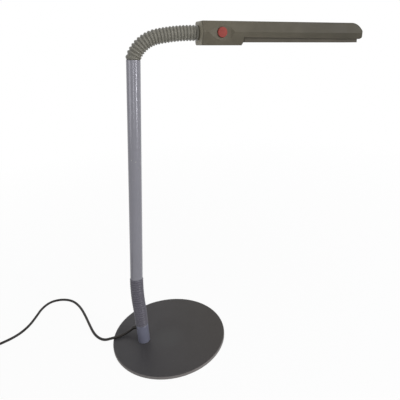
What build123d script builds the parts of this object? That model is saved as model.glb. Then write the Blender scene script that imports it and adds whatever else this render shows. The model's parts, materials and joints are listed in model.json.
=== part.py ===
"""Desk lamp: round flat base, straight pole between two ribbed goosenecks, slim fluorescent head.

All sizes are millimetres. The origin is on the table, under the centre of the base. +Z is up, and +X
runs from the pole's foot towards the head, so the lamp's own plane is Y = 0.
"""

import os
from math import cos, degrees, pi, radians, sin, tan

from build123d import *

os.makedirs("parts", exist_ok=True)

# Clearances
fit_gap = 0.1
slide_gap = 0.4
thread_gap = 0.05
cut_over = 1.0

# Base
base_diameter = 222.0
plate_thickness = 5.2
plate_edge_radius = 1.8
plate_edge_chamfer = 0.6
pad_thickness = 0.9
pad_margin = 4.0
foot_back = 50.3

# Collar that stands on the base
collar_diameter = 23.2
collar_height = 37.5
collar_floor = 8.0
collar_edge = 0.8
collar_groove_drop = 2.6
collar_groove_width = 1.2
collar_groove_depth = 0.5
base_screw_diameter = 8.0
base_screw_head_diameter = 15.0
base_screw_length = 10.0
ferrule_length = 5.4

# Pole
pole_diameter = 23.0
pole_wall = 1.2
pole_length = 393.5
pole_lean = 6.1
bush_length = 14.0

# Ribbed sleeves and the gooseneck cores inside them
rib_crest_diameter = 24.9
rib_valley_diameter = 21.2
sleeve_bore = 14.8
sleeve_neck_length = 24.0
collar_neck_length = 4.0
core_diameter = 12.0
core_bore = 8.0

# Lower neck: straight, then a slight lean back, then forward into the pole's own lean
lower_ribs = 21
lower_straight = 14.0
lower_back_length = 30.0
lower_back_lean = 1.9
lower_forward_length = 60.1

# Upper neck: a tight bend at the pole's mouth, a wide one, a slack one, then straight into the head
upper_ribs = 23
upper_straight = 0.3
upper_tight_radius = 15.0
upper_tight_turn = 24.8
upper_wide_radius = 54.0
upper_wide_turn = 51.9
upper_slack_radius = 300.0
upper_run_out = 9.3
head_drop = 4.1

# Head
head_length = 300.0
head_top = 18.4
head_bottom = 19.2
ridge_rise = 1.2
head_top_width = 38.0
head_ridge_width = 51.0
head_bottom_width = 39.0
head_edge_radius = 2.2
head_wall = 2.2
tip_radius = 21.0
tip_corner_radius = 4.0
chin_radius = 6.1
housing_length = 74.3
housing_chamfer = 2.5
cover_drop_rear = 6.7
cover_drop_tip = 8.7

# Rear cap, with a lip inside the shells and a spigot round the sleeve's neck
shell_start = 7.0
rear_cap_length = 3.8
rear_cap_round = 3.0
rear_cap_side = 4.0
rear_cap_level = 2.5
rear_cap_corner = 3.8
rear_cap_bands = 6
rear_lip_length = 5.0
rear_lip_wall = 1.6
rear_spigot_length = 7.0
rear_spigot_wall = 2.2
locknut_width = 22.0
locknut_thickness = 4.0

# Recess frame below the long cover
recess_start = 74.6
recess_end = 293.6
recess_bottom = 14.3
recess_width = 40.0
recess_wall = 1.6
recess_lip = 2.8
recess_flange = 1.8
recess_top = 2.0
recess_corner_radius = 3.0
ledge_places = (112.0, 182.0, 252.0)
ledge_length = 12.0
ledge_height = 1.8
ledge_reach = 3.4

# Fluorescent tube, its cap and its holder
tube_diameter = 12.2
tube_spacing = 15.6
tube_glass = 0.9
tube_start = 84.0
tube_end = 278.0
tube_drop = 2.5
bridge_diameter = 6.0
bridge_back = 9.0
cap_length = 14.0
cap_width = 34.0
cap_height = 20.0
cap_round = 4.0
post_length = 16.0
post_width = 18.0
post_height = 12.0
contact_diameter = 2.3
contact_length = 6.5
contact_spacing = 23.0
holder_length = 21.0
holder_width = 36.0
holder_height = 22.0
holder_round = 2.0

# Reflector, the screws that hold it and the clip for the tubes
reflector_thickness = 0.8
reflector_top = 10.6
reflector_top_width = 33.0
reflector_margin = 3.0
reflector_screw_places = (112.0, 240.0)
screw_diameter = 3.0
screw_head_diameter = 5.6
screw_head_height = 1.8
boss_diameter = 7.0
clip_place = 262.0
clip_length = 8.0
clip_thickness = 0.6

# Push switch in the side of the head, in an eye-shaped hollow
button_place = 37.0
button_rise = 1.0
button_diameter = 16.0
button_proud = 2.6
button_dome = 0.8
button_flange_diameter = 17.8
button_flange_thickness = 1.5
button_travel = 2.5
eye_start = 14.0
eye_deep_place = 33.0
eye_depth = 3.4
eye_step_place = 51.5
eye_step_depth = 2.9
eye_end = 58.0
eye_wall = 2.8
eye_reach = 11.8
plunger_diameter = 5.0
plunger_length = 9.0
spring_diameter = 7.6
spring_wire = 0.6
spring_turns = 3
switch_size = 20.0
switch_depth = 16.0
switch_setback = 9.6
cradle_wall = 1.5

# Terminal block, its screws, the housing screws and the leads
terminal_start = 27.0
terminal_length = 17.0
terminal_width = 11.0
terminal_height = 12.0
terminal_side = 5.0
terminal_rows = (0.28, 0.72)
terminal_columns = (0.25, 0.75)
housing_screw_place = 21.0
housing_screw_side = 15.5
lead_diameter = 1.6
lead_stub = 2.5

# Mains cord
cord_diameter = 5.2
cord_exit_height = 20.4
cord_exit_azimuth = 120.0
cord_lift = 0.3
relief_root_diameter = 8.0
relief_tip_diameter = 7.0
relief_flange_diameter = 9.0
relief_flange_thickness = 1.5
relief_flange_seat = 8.0
relief_bands = 7
relief_reach = 7.8
relief_groove = 0.5

# Coil of the cord's put-away length
coil_centre_x = -378.0
coil_centre_y = 54.0
coil_outer_radius = 39.6
coil_step = 2.9
coil_half_turns = 6

# Choke plug on the cord's end
plug_x = -450.0
plug_y = 12.0
plug_width = 50.0
plug_length = 70.0
plug_height = 42.0
plug_wall = 2.4
plug_side_radius = 6.0
plug_edge_radius = 2.5
plug_entry_height = 7.0
plug_relief_length = 24.0
plug_relief_root = 9.0
plug_boss_side = 18.0
plug_boss_place = 7.5
pin_diameter = 4.8
pin_length = 19.0
pin_root = 8.0
pin_spacing = 19.0
pin_flange_diameter = 9.0
pin_flange_thickness = 2.0
choke_start = 16.0
choke_length = 40.0
choke_width = 30.0
choke_height = 24.0
choke_window = 10.0
choke_seat = 4.0

# Heights, radii and places that follow from the sizes above
plate_top = pad_thickness + plate_thickness
collar_top = plate_top + collar_height
collar_radius = collar_diameter / 2
pole_radius = pole_diameter / 2
pole_bore_radius = pole_radius - pole_wall
neck_radius = pole_bore_radius - fit_gap
core_radius = core_diameter / 2
cord_radius = cord_diameter / 2
head_turn = 90 + head_drop - pole_lean
eye_floor = head_ridge_width / 2 - eye_depth
screw_radius = screw_diameter / 2
boss_radius = boss_diameter / 2
floor_height = cord_radius + cord_lift


def step(x, z, heading, length, turn):
    """Follow one piece of a flat path in the lamp's plane; a heading is measured from +Z towards +X."""
    if turn == 0:
        return x + length * sin(heading), z + length * cos(heading), heading
    radius = length / turn
    end = heading + turn
    return x + radius * (cos(heading) - cos(end)), z + radius * (sin(end) - sin(heading)), end


def place_on(path, distance):
    """The point and heading at a distance along a path, which is a start and its pieces."""
    x, z, heading = path["start"]
    for length, turn in path["pieces"]:
        share = min(distance, length) / length
        x, z, heading = step(x, z, heading, length * share, turn * share)
        distance -= length
        if distance <= 0:
            break
    return x, z, heading


def path_length(path):
    return sum(length for length, turn in path["pieces"])


def plane_on(path, distance):
    """A plane square to the path, whose X axis always is the lamp's Y axis."""
    x, z, heading = place_on(path, distance)
    return Plane(origin=(x, 0, z), x_dir=(0, 1, 0), z_dir=(sin(heading), 0, cos(heading)))


def centreline(path, start, end):
    """The stretch of a path between two distances, as one wire of lines and arcs."""
    edges = []
    low = 0.0
    for length, turn in path["pieces"]:
        first = max(low, start)
        last = min(low + length, end)
        low += length
        if last - first < fit_gap:
            continue
        points = []
        for distance in (first, (first + last) / 2, last):
            x, z, heading = place_on(path, distance)
            points.append((x, 0, z))
        edges.append(ThreePointArc(*points) if turn else Line(points[0], points[-1]))
    return Wire(edges)


def bar_along(path, start, end, outer_radius, bore_radius=0.0):
    """A round bar or tube that follows a path between two distances."""
    line = centreline(path, start, end)
    with BuildPart() as bar:
        with BuildSketch(plane_on(path, start)):
            Circle(outer_radius)
            if bore_radius:
                Circle(bore_radius, mode=Mode.SUBTRACT)
        sweep(path=line)
    return bar.part


def ribbed_hose(path, neck_in, rib_start, rib_end, neck_out, ribs):
    """A ribbed hose with a plain neck at each end and a bore right through."""
    crest = rib_crest_diameter / 2
    valley = rib_valley_diameter / 2
    shape = ((0.06, valley), (0.32, crest), (0.68, crest), (0.94, valley))
    pitch = (rib_end - rib_start) / ribs
    rings = [(neck_in, neck_radius), (rib_start, neck_radius)]
    for rib in range(ribs):
        rings += [(rib_start + (rib + share) * pitch, radius) for share, radius in shape]
    rings += [(rib_end, neck_radius), (neck_out, neck_radius)]
    line = centreline(path, neck_in, neck_out)
    with BuildPart() as hose:
        for distance, radius in rings:
            with BuildSketch(plane_on(path, distance)):
                Circle(radius)
        loft(ruled=True)
        with BuildSketch(plane_on(path, neck_in)):
            Circle(sleeve_bore / 2)
        sweep(path=line, mode=Mode.SUBTRACT)
    return hose.part


def ring_on(plane, length, outer_radius, inner_radius):
    """A plain ring that stands on a plane."""
    with BuildPart() as ring:
        with BuildSketch(plane):
            Circle(outer_radius)
            Circle(inner_radius, mode=Mode.SUBTRACT)
        extrude(amount=length)
    return ring.part


def save(piece, name):
    piece.label = name
    export_step(piece, f"parts/{name}.step")


# Paths of both necks, and the pole between them
lean = radians(pole_lean)
pole_grip = sleeve_neck_length + bush_length
core_seat = ferrule_length + collar_neck_length
lower_path = {
    "start": (-foot_back, collar_top - core_seat, 0.0),
    "pieces": [
        (core_seat + lower_straight, 0.0),
        (lower_back_length, -radians(lower_back_lean)),
        (lower_forward_length, lean + radians(lower_back_lean)),
        (pole_grip, 0.0),
    ],
}
lower_end = path_length(lower_path)
pole_foot = plane_on(lower_path, lower_end - pole_grip)
upper_foot = pole_foot.offset(pole_length - pole_grip)
tight_turn = radians(upper_tight_turn)
wide_turn = radians(upper_wide_turn)
slack_turn = radians(head_turn) - tight_turn - wide_turn
head_grip = rear_cap_length + rear_spigot_length
spigot_end = shell_start + rear_spigot_length
core_nose = locknut_thickness + cut_over
upper_path = {
    "start": (upper_foot.origin.X, upper_foot.origin.Z, lean),
    "pieces": [
        (pole_grip + upper_straight, 0.0),
        (upper_tight_radius * tight_turn, tight_turn),
        (upper_wide_radius * wide_turn, wide_turn),
        (upper_slack_radius * slack_turn, slack_turn),
        (upper_run_out + head_grip + core_nose, 0.0),
    ],
}
upper_end = path_length(upper_path)
upper_rib_end = upper_end - core_nose - head_grip

# The head's frame: u along the head, y across it, w square to both and nearly up
head_x, head_z, head_heading = place_on(upper_path, upper_rib_end + rear_cap_length - shell_start)
along = Vector(sin(head_heading), 0, cos(head_heading))
upward = Vector(-cos(head_heading), 0, sin(head_heading))
head_frame = Plane(origin=(head_x, 0, head_z), x_dir=along, z_dir=upward)


def head_point(u, y, w):
    return head_frame.from_local_coords(Vector(u, y, w))


def across(u):
    """A plane square to the head, with Y to the right and w up, facing the tip."""
    return Plane(origin=head_point(u, 0, 0), x_dir=(0, 1, 0), z_dir=along)


def beside(y):
    """A plane along the head, with u to the right and w up, facing -Y."""
    return Plane(origin=head_point(0, y, 0), x_dir=along, z_dir=(0, -1, 0))


def above(w):
    """A plane along the head, with u to the right and Y up, facing w."""
    return Plane(origin=head_point(0, 0, w), x_dir=along, z_dir=upward)


def head_box(low, high, mode=Mode.ADD):
    """Put a block between two corners of the head's frame into the current part."""
    size = Vector(*high) - Vector(*low)
    with Locations(head_frame.location * Location(low)):
        Box(size.X, size.Y, size.Z, align=(Align.MIN, Align.MIN, Align.MIN), mode=mode)


def head_bar(u, y, low, high, radius, mode=Mode.ADD):
    """Put an upright round bar between two heights of the head's frame into the current part."""
    with Locations(head_frame.location * Location((u, y, low))):
        Cylinder(radius, high - low, align=(Align.CENTER, Align.CENTER, Align.MIN), mode=mode)


def head_section(inset, corner, side=0.0, level=0.0):
    """The head's section: flat top and bottom, and sides drawn out to a ridge."""
    top = head_top_width / 2 - side
    ridge = head_ridge_width / 2 - side
    bottom = head_bottom_width / 2 - side
    right = [(top, head_top - level), (ridge, ridge_rise), (bottom, level - head_bottom)]
    left = [(-y, w) for y, w in reversed(right)]
    with BuildSketch() as section:
        with BuildLine():
            Polyline(*right, *left, close=True)
        make_face()
        if inset:
            offset(amount=-inset, kind=Kind.INTERSECTION, mode=Mode.REPLACE)
        if corner:
            by_height = section.vertices().group_by(Axis.Y)
            fillet(by_height[0] + by_height[-1], corner)
    return section.sketch


# Base: plate, pad and the screw that holds the collar
screw_bottom = pad_thickness + fit_gap
screw_top = screw_bottom + base_screw_length
foot = Plane(origin=(-foot_back, 0, 0))
with BuildPart() as base_plate:
    with BuildSketch(Plane.XY.offset(pad_thickness)):
        Circle(base_diameter / 2)
    extrude(amount=plate_thickness)
    fillet(base_plate.edges().sort_by(Axis.Z)[-1], plate_edge_radius)
    chamfer(base_plate.edges().sort_by(Axis.Z)[0], plate_edge_chamfer)
    with Locations(Location((-foot_back, 0, pad_thickness), (180, 0, 0))):
        sink_radius = base_screw_head_diameter / 2 + fit_gap
        CounterSinkHole(base_screw_diameter / 2 + fit_gap, sink_radius, depth=plate_thickness)
save(base_plate.part, "base_plate")

with BuildPart() as base_pad:
    with BuildSketch():
        Circle(base_diameter / 2 - pad_margin)
        with Locations((-foot_back, 0)):
            Circle(base_screw_head_diameter / 2 + cut_over, mode=Mode.SUBTRACT)
    extrude(amount=pad_thickness)
save(base_pad.part, "base_pad")

with BuildPart() as base_screw:
    head_radius = base_screw_head_diameter / 2 - fit_gap
    shank_radius = base_screw_diameter / 2
    shank_start = screw_bottom + head_radius - shank_radius
    with BuildSketch(Plane.XZ):
        with BuildLine():
            Polyline(
                (-foot_back, screw_bottom),
                (-foot_back + head_radius, screw_bottom),
                (-foot_back + shank_radius, shank_start),
                (-foot_back + shank_radius, screw_top),
                (-foot_back, screw_top),
                close=True,
            )
        make_face()
    revolve(axis=Axis((-foot_back, 0, 0), (0, 0, 1)))
    with BuildSketch(foot.offset(screw_bottom)):
        RegularPolygon(base_screw_diameter / 4, 6)
    extrude(amount=head_radius - shank_radius, mode=Mode.SUBTRACT)
save(base_screw.part, "base_screw")

# Collar: a turned cup with the screw in its floor and the cord's exit in its back
exit_turn = radians(cord_exit_azimuth)
exit_way = Vector(cos(exit_turn), sin(exit_turn), 0)
exit_axis = Vector(-foot_back, 0, plate_top + cord_exit_height)
collar_bore_radius = neck_radius + fit_gap
with BuildPart() as collar:
    with BuildSketch(foot.offset(plate_top)):
        Circle(collar_radius)
    extrude(amount=collar_height)
    chamfer(collar.edges().sort_by(Axis.Z)[-1], collar_edge)
    with BuildSketch(foot.offset(plate_top + collar_floor)):
        Circle(collar_bore_radius)
    extrude(amount=collar_height, mode=Mode.SUBTRACT)
    with BuildSketch(foot.offset(plate_top)):
        Circle(base_screw_diameter / 2 + thread_gap)
    extrude(amount=collar_floor, mode=Mode.SUBTRACT)
    with BuildSketch(foot.offset(collar_top - collar_groove_drop)):
        Circle(collar_radius + cut_over)
        Circle(collar_radius - collar_groove_depth, mode=Mode.SUBTRACT)
    extrude(amount=-collar_groove_width, mode=Mode.SUBTRACT)
    with BuildSketch(Plane(origin=exit_axis, z_dir=exit_way)):
        Circle(relief_root_diameter / 2 + thread_gap)
    extrude(amount=collar_diameter, mode=Mode.SUBTRACT)
save(collar.part, "collar")

core_foot = foot.offset(collar_top - core_seat)
save(ring_on(core_foot, ferrule_length, neck_radius, core_radius + thread_gap), "collar_ferrule")

# Lower neck: ribbed sleeve, gooseneck core and the cable in it
lower_ribs_from = core_seat
lower_ribs_to = lower_end - pole_grip
lower_sleeve = ribbed_hose(
    lower_path,
    ferrule_length,
    lower_ribs_from,
    lower_ribs_to,
    lower_ribs_to + sleeve_neck_length,
    lower_ribs,
)
save(lower_sleeve, "lower_sleeve")
save(bar_along(lower_path, 0, lower_end, core_radius, core_bore / 2), "lower_gooseneck")
save(bar_along(lower_path, 0, lower_end, cord_radius), "lower_neck_cable")

# Pole, with a bush at each end that clamps the gooseneck cores
bush_radius = pole_bore_radius - thread_gap
lower_bush_foot = pole_foot.offset(sleeve_neck_length)
save(ring_on(pole_foot, pole_length, pole_radius, pole_bore_radius), "pole_tube")
save(ring_on(lower_bush_foot, bush_length, bush_radius, core_radius + thread_gap), "pole_lower_bush")
save(ring_on(upper_foot, bush_length, bush_radius, core_radius + thread_gap), "pole_upper_bush")
with BuildPart() as pole_cable:
    with BuildSketch(pole_foot.offset(pole_grip)):
        Circle(cord_radius)
    extrude(amount=pole_length - 2 * pole_grip)
save(pole_cable.part, "pole_cable")

# Upper neck
upper_sleeve = ribbed_hose(
    upper_path,
    bush_length,
    pole_grip,
    upper_rib_end,
    upper_rib_end + head_grip,
    upper_ribs,
)
save(upper_sleeve, "upper_sleeve")
save(bar_along(upper_path, 0, upper_end, core_radius, core_bore / 2), "upper_gooseneck")
save(bar_along(upper_path, 0, upper_end, cord_radius), "upper_neck_cable")


# Head shells
def head_blank(inset, start):
    """The head's whole form, moved in by an inset, from a place on u to its rounded tip."""
    section = head_section(inset, 0 if inset else head_edge_radius)
    tip = head_length - inset
    top = head_top - inset
    low = inset - cover_drop_tip
    bottom = inset - head_bottom
    round_u = head_length - tip_radius
    round_w = chin_radius - cover_drop_tip
    chin_u = head_length - chin_radius
    half = head_ridge_width / 2 - inset
    corner_u = head_length - tip_corner_radius
    corner_y = head_ridge_width / 2 - tip_corner_radius
    corner = tip_corner_radius - inset
    with BuildPart() as blank:
        with BuildSketch(across(start)):
            add(section)
        extrude(amount=tip - start)
        with BuildSketch(beside(0)):
            with BuildLine():
                Line((start, top), (round_u, top))
                CenterArc((round_u, round_w), tip_radius - inset, 0, 90)
                CenterArc((chin_u, round_w), chin_radius - inset, 270, 90)
                Polyline((chin_u, low), (chin_u, bottom), (start, bottom), (start, top))
            make_face()
        extrude(amount=head_ridge_width, both=True, mode=Mode.INTERSECT)
        with BuildSketch(above(0)):
            with BuildLine():
                Line((start, -half), (corner_u, -half))
                CenterArc((corner_u, -corner_y), corner, 270, 90)
                Line((tip, -corner_y), (tip, corner_y))
                CenterArc((corner_u, corner_y), corner, 0, 90)
                Polyline((corner_u, half), (start, half), (start, -half))
            make_face()
        extrude(amount=head_length, both=True, mode=Mode.INTERSECT)
    return blank.part


outer_form = head_blank(0, shell_start)
inner_form = head_blank(head_wall, shell_start - cut_over)
eye_back = eye_wall - eye_floor
inner_top = head_top - head_wall
inner_floor = head_wall - head_bottom
screw_sides = (-housing_screw_side, housing_screw_side)


def eye_backing():
    """Put the wall behind the eye-shaped hollow into the current part."""
    head_box((eye_start, -head_ridge_width / 2, -eye_reach), (eye_end, eye_back, eye_reach))


with BuildPart() as eye_scoop:
    rim = head_ridge_width / 2
    with BuildSketch(above(-head_bottom)):
        with BuildLine():
            ThreePointArc(
                (eye_start, -rim),
                (eye_deep_place, eye_depth - rim),
                (eye_step_place, eye_step_depth - rim),
            )
            Polyline(
                (eye_step_place, eye_step_depth - rim),
                (eye_end, -rim),
                (eye_end, -rim - eye_depth),
                (eye_start, -rim - eye_depth),
                (eye_start, -rim),
            )
        make_face()
    extrude(amount=head_bottom + head_top)
    with BuildSketch(beside(0)):
        with Locations((button_place, button_rise)):
            Circle(button_diameter / 2 + slide_gap)
    extrude(amount=head_ridge_width)

with BuildPart() as head_cover:
    add(outer_form)
    add(inner_form, mode=Mode.SUBTRACT)
    eye_backing()
    for y in screw_sides:
        head_bar(housing_screw_place, y, ridge_rise, head_top, boss_radius)
    for u in reflector_screw_places:
        head_bar(u, 0, reflector_top, head_top, boss_radius)
    for u in ledge_places:
        for side in (-1, 1):
            near = recess_width / 2 + fit_gap
            edges = sorted((side * near, side * (near + ledge_reach)))
            ledge_top = -recess_top - recess_wall - thread_gap
            low = (u - ledge_length / 2, edges[0], ledge_top - ledge_height)
            head_box(low, (u + ledge_length / 2, edges[1], ledge_top))
    add(outer_form, mode=Mode.INTERSECT)
    for y in screw_sides:
        head_bar(housing_screw_place, y, 0, inner_top - head_wall, screw_radius + thread_gap, Mode.SUBTRACT)
    for u in reflector_screw_places:
        head_bar(u, 0, reflector_top, inner_top, screw_radius + thread_gap, Mode.SUBTRACT)
    add(eye_scoop.part, mode=Mode.SUBTRACT)
    with BuildSketch(beside(0)):
        with BuildLine():
            Polyline(
                (0, ridge_rise),
                (housing_length + fit_gap, ridge_rise),
                (housing_length + fit_gap, -cover_drop_rear),
                (head_length + cut_over, -cover_drop_tip),
                (head_length + cut_over, -2 * head_bottom),
                (0, -2 * head_bottom),
                close=True,
            )
        make_face()
    extrude(amount=head_ridge_width, both=True, mode=Mode.SUBTRACT)
save(head_cover.part, "head_cover")

# Switch housing: the short lower shell, with seats for the switch, the terminals and the lamp holder
cap_low = (tube_start - cap_length, -cap_width / 2, -tube_drop - cap_height / 2)
cap_high = (tube_start, cap_width / 2, cap_height / 2 - tube_drop)
holder_low = (cap_low[0] - holder_length, -holder_width / 2, -tube_drop - holder_height / 2)
holder_high = (cap_low[0], holder_width / 2, holder_height / 2 - tube_drop)
switch_low = (button_place - switch_size / 2, switch_setback - eye_floor, button_rise - switch_size / 2)
switch_high = (switch_low[0] + switch_size, switch_low[1] + switch_depth, switch_low[2] + switch_size)
terminal_low = (terminal_start, terminal_side, -terminal_height / 2)
terminal_high = (
    terminal_start + terminal_length,
    terminal_side + terminal_width,
    terminal_height / 2,
)
front_wall = housing_length - head_wall
cradle_places = (switch_low[0] - cradle_wall - fit_gap, switch_high[0] + fit_gap)
with BuildPart() as switch_housing:
    add(outer_form)
    add(inner_form, mode=Mode.SUBTRACT)
    eye_backing()
    for y in screw_sides:
        head_bar(housing_screw_place, y, -head_bottom, ridge_rise, boss_radius)
    wall_low = (front_wall, -head_ridge_width / 2, -head_bottom)
    head_box(wall_low, (housing_length, head_ridge_width / 2, ridge_rise))
    head_box((holder_low[0], -post_width, inner_floor), (front_wall, post_width, holder_low[2]))
    head_box((switch_low[0], switch_low[1], inner_floor), (switch_high[0], switch_high[1], switch_low[2]))
    for u in cradle_places:
        low = (u, switch_low[1], inner_floor)
        head_box(low, (u + cradle_wall, switch_high[1], switch_low[2] + switch_size / 3))
    head_box(
        (terminal_low[0], terminal_low[1], inner_floor),
        (terminal_high[0], terminal_high[1], terminal_low[2]),
    )
    add(outer_form, mode=Mode.INTERSECT)
    head_box(
        (front_wall - cut_over, cap_low[1] - slide_gap, cap_low[2] - slide_gap),
        (housing_length + cut_over, cap_high[1] + slide_gap, 2 * ridge_rise),
        Mode.SUBTRACT,
    )
    sink_top = 2 * screw_head_height - head_bottom
    for y in screw_sides:
        head_bar(housing_screw_place, y, -head_bottom, 2 * ridge_rise, screw_radius + fit_gap, Mode.SUBTRACT)
        head_bar(
            housing_screw_place,
            y,
            -head_bottom - cut_over,
            sink_top,
            screw_head_diameter / 2 + slide_gap,
            Mode.SUBTRACT,
        )
    add(eye_scoop.part, mode=Mode.SUBTRACT)
    with BuildSketch(beside(0)):
        with BuildLine():
            Polyline(
                (0, ridge_rise),
                (housing_length, ridge_rise),
                (housing_length, 2 * housing_chamfer - head_bottom),
                (housing_length - housing_chamfer, -head_bottom),
                (0, -head_bottom),
                close=True,
            )
        make_face()
    extrude(amount=head_ridge_width, both=True, mode=Mode.INTERSECT)
save(switch_housing.part, "switch_housing")

# Rear cap
cap_rings = []
for band in range(rear_cap_bands + 1):
    angle = pi / 2 * band / rear_cap_bands
    ring_share = 1 - cos(angle)
    ring_back = rear_cap_length - rear_cap_round * (1 - sin(angle))
    ring_side = rear_cap_side * ring_share
    ring_corner = head_edge_radius + rear_cap_corner * ring_share
    ring_face = head_section(0, ring_corner, ring_side, rear_cap_level * ring_share)
    cap_rings.append((ring_back, ring_face))
cap_rings.insert(0, (0, head_section(0, head_edge_radius)))
lip_outer = head_section(head_wall + fit_gap, 0)
lip_inner = head_section(head_wall + fit_gap + rear_lip_wall, 0)
spigot_bore = neck_radius + fit_gap
with BuildPart() as rear_cap:
    for ring_back, ring_face in cap_rings:
        with BuildSketch(across(shell_start - ring_back)):
            add(ring_face)
    loft(ruled=True)
    with BuildSketch(across(shell_start)):
        add(lip_outer)
        add(lip_inner, mode=Mode.SUBTRACT)
    extrude(amount=rear_lip_length)
    with BuildSketch(across(shell_start)):
        Circle(spigot_bore + rear_spigot_wall)
    extrude(amount=rear_spigot_length)
    with BuildSketch(across(shell_start - rear_cap_length)):
        Circle(spigot_bore)
    extrude(amount=head_grip, mode=Mode.SUBTRACT)
save(rear_cap.part, "rear_cap")

with BuildPart() as core_locknut:
    with BuildSketch(across(spigot_end)):
        RegularPolygon(locknut_width / 2, 6, major_radius=False)
        Circle(core_radius + thread_gap, mode=Mode.SUBTRACT)
    extrude(amount=locknut_thickness)
save(core_locknut.part, "core_locknut")

# Recess frame below the cover
frame_length = recess_end - recess_start
frame_middle = (recess_start + recess_end) / 2
with BuildPart() as recess_frame:
    with BuildSketch(above(-recess_bottom)):
        with Locations((frame_middle, 0)):
            RectangleRounded(frame_length, recess_width, recess_corner_radius)
    extrude(amount=recess_bottom - recess_top)
    with BuildSketch(above(-recess_top - recess_wall)):
        with Locations((frame_middle, 0)):
            RectangleRounded(frame_length, recess_width + 2 * recess_flange, recess_corner_radius)
    extrude(amount=recess_wall)
    with BuildSketch(above(-recess_bottom)):
        with Locations((frame_middle, 0)):
            Rectangle(frame_length - 2 * recess_lip, recess_width - 2 * recess_lip)
    extrude(amount=recess_bottom, mode=Mode.SUBTRACT)
    with BuildSketch(above(recess_wall - recess_bottom)):
        with Locations((frame_middle, 0)):
            Rectangle(frame_length - 2 * recess_wall, recess_width - 2 * recess_wall)
    extrude(amount=recess_bottom, mode=Mode.SUBTRACT)
    head_box(
        (recess_start - cut_over, cap_low[1] - slide_gap, cap_low[2] - slide_gap),
        (recess_start + 2 * recess_lip, cap_high[1] + slide_gap, 0),
        Mode.SUBTRACT,
    )
save(recess_frame.part, "recess_frame")

# Reflector: a folded channel that stands on the frame's lip, under the cover's bosses
fold = reflector_thickness
foot_w = recess_wall - recess_bottom
foot_y = recess_width / 2 - recess_wall - fit_gap
top_y = reflector_top_width / 2
reflector_end = recess_end - recess_wall - reflector_margin
reflector_under = reflector_top - fold
with BuildPart() as reflector:
    with BuildSketch(across(tube_start + reflector_margin)):
        with BuildLine():
            Polyline(
                (foot_y, foot_w),
                (top_y, reflector_top),
                (-top_y, reflector_top),
                (-foot_y, foot_w),
                (fold - foot_y, foot_w),
                (fold - top_y, reflector_under),
                (top_y - fold, reflector_under),
                (foot_y - fold, foot_w),
                close=True,
            )
        make_face()
    extrude(amount=reflector_end - tube_start - reflector_margin)
    for u in reflector_screw_places:
        head_bar(u, 0, 0, reflector_top + cut_over, screw_radius + fit_gap, Mode.SUBTRACT)
save(reflector.part, "reflector")

# Screws in the head
with BuildPart() as reflector_screws:
    for u in reflector_screw_places:
        head_bar(u, 0, reflector_under - screw_head_height, reflector_under, screw_head_diameter / 2)
        head_bar(u, 0, reflector_under, inner_top - fit_gap, screw_radius)
save(reflector_screws.part, "reflector_screws")

with BuildPart() as housing_screws:
    for y in screw_sides:
        head_bar(housing_screw_place, y, sink_top - screw_head_height, sink_top, screw_head_diameter / 2)
        head_bar(housing_screw_place, y, sink_top, head_top / 2, screw_radius)
save(housing_screws.part, "housing_screws")

# Twin tube: two glass fingers, closed at the far end and joined near it
tube_sides = (-tube_spacing / 2, tube_spacing / 2)


def finger(y, radius, end, mode):
    """Put a round rod with a round far end into the current part."""
    with Locations(across(tube_start).location * Location((y, -tube_drop, 0))):
        length = end - radius - tube_start
        Cylinder(radius, length, align=(Align.CENTER, Align.CENTER, Align.MIN), mode=mode)
    with Locations(across(end - radius).location * Location((y, -tube_drop, 0))):
        Sphere(radius, mode=mode)


with BuildPart() as twin_tube:
    for y in tube_sides:
        finger(y, tube_diameter / 2, tube_end, Mode.ADD)
    with BuildSketch(beside(tube_spacing / 2)):
        with Locations((tube_end - bridge_back, -tube_drop)):
            Circle(bridge_diameter / 2)
    extrude(amount=tube_spacing)
    for y in tube_sides:
        finger(y, tube_diameter / 2 - tube_glass, tube_end - tube_glass, Mode.SUBTRACT)
save(twin_tube.part, "twin_tube")

post_low = (cap_low[0] - post_length, -post_width / 2, -tube_drop - post_height / 2)
post_high = (cap_low[0], post_width / 2, post_height / 2 - tube_drop)
length_axis = Axis(head_point(0, 0, 0), along)
with BuildPart() as tube_cap:
    head_box(cap_low, cap_high)
    fillet(tube_cap.edges().filter_by(length_axis), cap_round)
    head_box(post_low, post_high)
save(tube_cap.part, "tube_cap")

with BuildPart() as tube_contacts:
    with BuildSketch(across(cap_low[0] - contact_length)):
        with Locations((-contact_spacing / 2, -tube_drop), (contact_spacing / 2, -tube_drop)):
            Circle(contact_diameter / 2)
    extrude(amount=contact_length)
save(tube_contacts.part, "tube_contacts")

with BuildPart() as tube_holder:
    head_box(holder_low, holder_high)
    fillet(tube_holder.edges().filter_by(length_axis), holder_round)
    head_box(
        (post_low[0] - slide_gap, post_low[1] - fit_gap, post_low[2] - fit_gap),
        (post_high[0], post_high[1] + fit_gap, post_high[2] + fit_gap),
        Mode.SUBTRACT,
    )
    with BuildSketch(across(cap_low[0] - contact_length - slide_gap)):
        with Locations((-contact_spacing / 2, -tube_drop), (contact_spacing / 2, -tube_drop)):
            Circle(contact_diameter / 2 + thread_gap)
    extrude(amount=contact_length + slide_gap, mode=Mode.SUBTRACT)
save(tube_holder.part, "tube_holder")

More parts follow.
